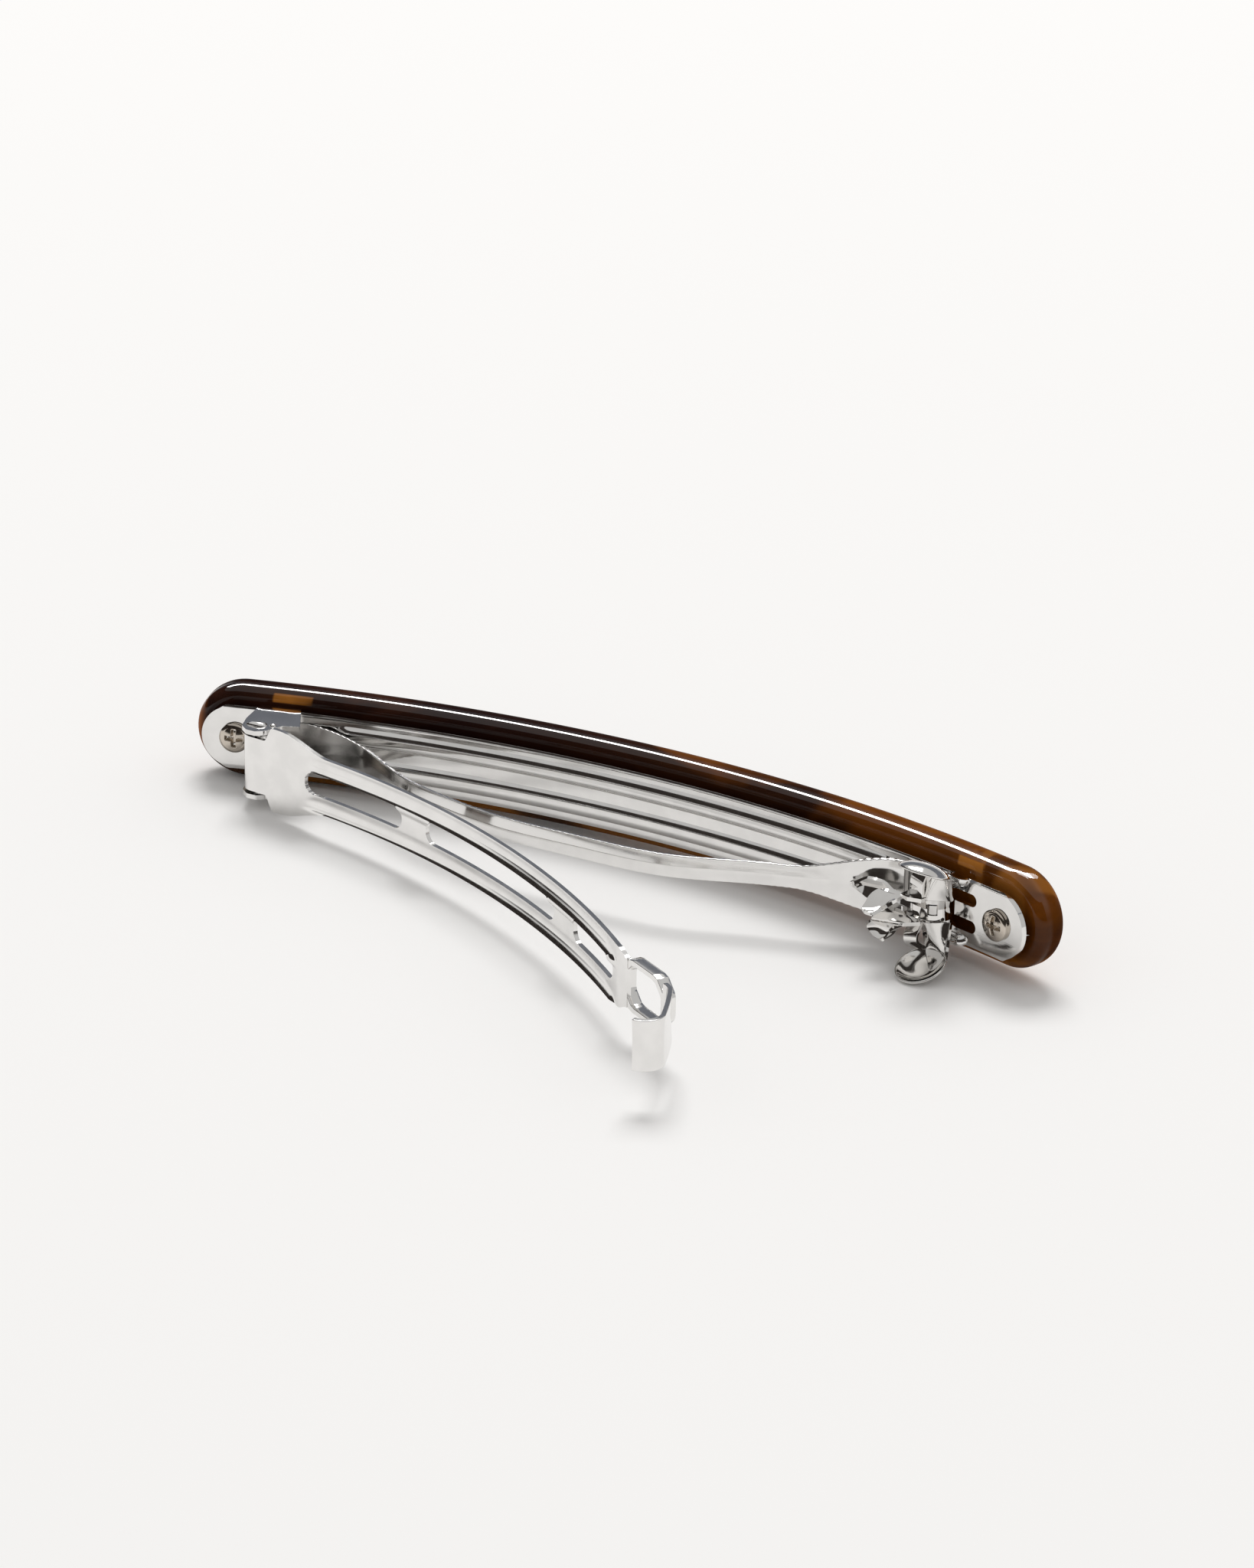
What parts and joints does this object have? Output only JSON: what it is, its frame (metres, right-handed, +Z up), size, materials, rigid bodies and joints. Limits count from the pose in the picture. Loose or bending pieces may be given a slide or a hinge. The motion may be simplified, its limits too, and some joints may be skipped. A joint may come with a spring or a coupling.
{
  "type": "hair barrette",
  "caption": "Long curved hair barrette: glossy tortoiseshell bar with a polished steel snap clasp, hinged arm swung open, and a sprung tension bow.",
  "frame": {"origin": "bottom centre of the whole object's bounding box, as the barrette stands on its long edge", "axes": "+X along the bar from the hinge end to the latch end, +Y towards the bar's outer (show) side, +Z up across the bar's width"},
  "size_m": [0.1022, 0.0554, 0.0125],
  "materials": {
    "tortoiseshell": "polished cellulose acetate, amber mottled with dark brown",
    "plate_steel": "bright nickel plate on sheet steel",
    "screw_steel": "nickel plate, slightly dull in the recess",
    "bow_steel": "bright nickel plate on spring steel",
    "arm_steel": "bright nickel plate on sheet steel",
    "latch_steel": "bright nickel plate on spring steel"
  },
  "bodies": {
    "bar_body": {"acetate_bar": "tortoiseshell", "base_plate": "plate_steel", "screw_hinge_end": "screw_steel", "screw_latch_end": "screw_steel", "tension_bow": "bow_steel", "latch_saddle": "latch_steel"},
    "arm_body": {"clasp_arm": "arm_steel"},
    "upper_tab_body": {"finger_tab_upper": "latch_steel"},
    "lower_tab_body": {"finger_tab_lower": "latch_steel"}
  },
  "joints": [
    {"name": "arm_hinge", "type": "hinge", "parent": "bar_body", "child": "arm_body", "pos_m": [-0.03907, 0.01153, 0.00624], "axis": [0, 0, 1], "range_deg": [0, 26.2], "deforming": ["tension_bow"]},
    {"name": "upper_tab_flex", "type": "hinge", "parent": "bar_body", "child": "upper_tab_body", "pos_m": [0.03636, 0.01715, 0.00779], "axis": [0.9681, -0.2504, 0], "range_deg": [0, 7], "stiffness_Nm_per_rad": 0.02},
    {"name": "lower_tab_flex", "type": "hinge", "parent": "bar_body", "child": "lower_tab_body", "pos_m": [0.03636, 0.01715, 0.00469], "axis": [-0.9681, 0.2504, 0], "range_deg": [0, 7], "stiffness_Nm_per_rad": 0.02}
  ]
}
